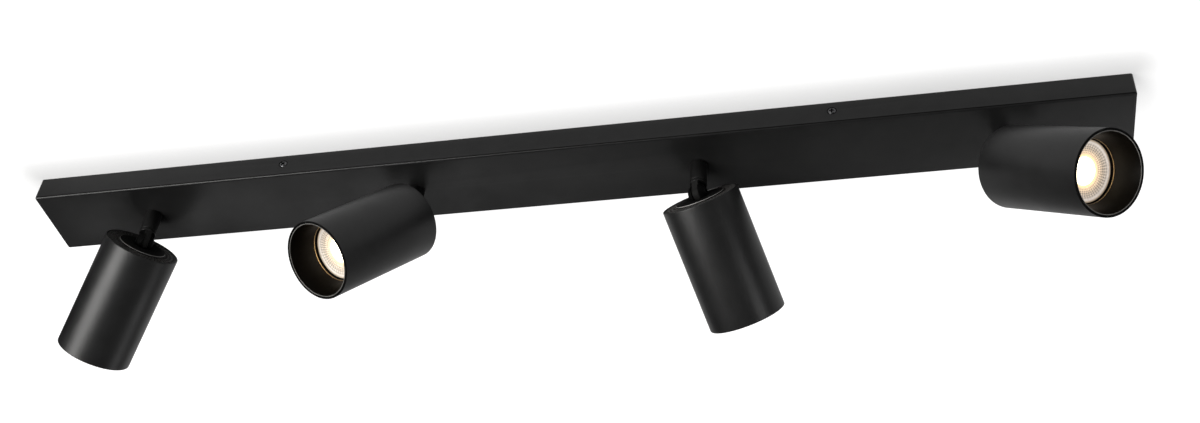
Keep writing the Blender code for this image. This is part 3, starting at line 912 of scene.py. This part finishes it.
def one_sided(name, color, glow, mirrored, shade=0.0):
    """Matt paint seen from its front only, so other views look through it.

    glow is the soft light it gives to the eye and mirrored what it gives to the
    object, which fades out past the canopy's left end. shade darkens a band along
    the canopy's near side.
    """
    shade_width = 30 * MM
    mat = bpy.data.materials.new(name)
    mat.use_nodes = True
    n = Nodes(mat.node_tree)
    mat.node_tree.nodes.clear()
    where = n.add("ShaderNodeTexCoord").outputs["Object"]
    roller = n.noise(where, 160, 3.0, 0.6)
    tint = n.mix(roller, (*[c * 0.985 for c in color], 1), (*color, 1))
    normal = n.bump(roller, 0.2 * MM, 0.4)
    matt = n.add("ShaderNodeBsdfDiffuse", {"Color": tint, "Normal": normal}).outputs[0]
    axes = n.add("ShaderNodeSeparateXYZ", {0: where}).outputs
    near = n.span(canopy_gap(n, axes), 0.0, shade_width, shade, 0.0)
    near = n.math("MULTIPLY", near, n.span(axes["Y"], -0.05, 0.02, 1.0, 0.0))
    power = n.math("MULTIPLY", n.math("SUBTRACT", 1.0, near), glow)
    shown = n.add("ShaderNodeAddShader", {0: matt, 1: n.emission(power)}).outputs[0]
    reach = n.span(axes["X"], -0.52, -0.40, 0.0, 1.0)
    dark = n.mix(reach, (0, 0, 0, 1), (0.22, 0.22, 0.22, 1))
    dim = n.add("ShaderNodeBsdfDiffuse", {"Color": dark}).outputs[0]
    soft = n.emission(n.math("MULTIPLY", reach, mirrored))
    felt = n.add("ShaderNodeAddShader", {0: dim, 1: soft}).outputs[0]
    seen = n.add("ShaderNodeLightPath").outputs["Is Camera Ray"]
    front = n.mix_shader(seen, felt, shown)
    clear = n.add("ShaderNodeBsdfTransparent").outputs[0]
    back = n.add("ShaderNodeNewGeometry").outputs["Backfacing"]
    n.add("ShaderNodeOutputMaterial", {0: n.mix_shader(back, front, clear)})
    return mat


def plane(name, size, z, facing_up, mat):
    bm = bmesh.new()
    half = size / 2
    corners = [(-half, -half), (half, -half), (half, half), (-half, half)]
    if not facing_up:
        corners.reverse()
    bm.faces.new([bm.verts.new((x, y, z)) for x, y in corners])
    mesh = bpy.data.meshes.new(name)
    bm.to_mesh(mesh)
    bm.free()
    mesh.materials.append(mat)
    obj = bpy.data.objects.new(name, mesh)
    bpy.context.scene.collection.objects.link(obj)
    return obj


def area_light(name, place, target, size, power, color=(1, 1, 1)):
    light = bpy.data.lights.new(name, "AREA")
    light.shape = "RECTANGLE"
    light.size, light.size_y = size
    light.energy = power
    light.color = color
    obj = bpy.data.objects.new(name, light)
    bpy.context.scene.collection.objects.link(obj)
    direction = Vector(target) - Vector(place)
    aim = direction.to_track_quat("-Z", "Y").to_matrix().to_4x4()
    obj.matrix_world = Matrix.Translation(place) @ aim


def set_world(seen, lighting):
    """White studio behind the room, with a weaker warm fill for the object."""
    world = bpy.data.worlds.new("studio")
    world.use_nodes = True
    bpy.context.scene.world = world
    n = Nodes(world.node_tree)
    world.node_tree.nodes.clear()
    sky = "ShaderNodeBackground"
    view = n.add(sky, {"Color": (1, 1, 1, 1), "Strength": seen}).outputs[0]
    fill = n.add(sky, {"Color": (1, 0.98, 0.95, 1), "Strength": lighting}).outputs[0]
    camera = n.add("ShaderNodeLightPath").outputs["Is Camera Ray"]
    n.add("ShaderNodeOutputWorld", {0: n.mix_shader(camera, fill, view)})


def set_camera():
    """Camera below and in front of the bar, looking up, rolled with the room."""
    place = Vector((0.2591, -0.8218, -0.8279))
    up_angle, yaw, roll = (math.radians(v) for v in (42.015, -15.031, 5.236))
    level = math.cos(up_angle)
    forward = Vector((math.sin(yaw) * level, math.cos(yaw) * level, math.sin(up_angle)))
    side = Vector((math.cos(yaw), -math.sin(yaw), 0))
    top = side.cross(forward)
    right = side * math.cos(roll) + top * math.sin(roll)
    up = top * math.cos(roll) - side * math.sin(roll)
    turn = Matrix((right, up, -forward)).transposed().to_4x4()
    data = bpy.data.cameras.new("camera")
    data.sensor_width = 36
    data.lens = 45.44
    data.clip_start = 0.01
    camera = bpy.data.objects.new("camera", data)
    camera.matrix_world = Matrix.Translation(place) @ turn
    bpy.context.scene.collection.objects.link(camera)
    bpy.context.scene.camera = camera


dress_base()
dress_spots()

ceiling_paint = one_sided("ceiling_paint", grey(0.30), glow=0.96, mirrored=0.45, shade=0.62)
ceiling = plane("ceiling", 8.0, 0.4 * MM, False, ceiling_paint)
ceiling.visible_shadow = False
floor_paint = one_sided("floor_paint", (0.70, 0.69, 0.67), glow=0.62, mirrored=0.05)
plane("floor", 60.0, -2.3, True, floor_paint)
set_world(seen=0.9, lighting=0.16)
BAR = (0, 0, -0.05)
area_light("window_left", (-1.7, -1.55, -1.4), BAR, (2.0, 1.3), 88, (1, 0.99, 0.97))
area_light("window_right", (0.8, -0.1, -0.52), (0.12, 0, -0.1), (0.3, 0.3), 0.9)
area_light("far_left", (-1.1, 1.8, -1.8), BAR, (1.6, 1.2), 7)
area_light("far_right", (1.1, 1.7, -1.2), BAR, (1.4, 0.8), 6)
area_light("top_fill", (0.0, -0.4, 2.2), (0, 0, 0), (2.0, 2.0), 4)
set_camera()
bpy.context.scene.view_settings.view_transform = "Standard"
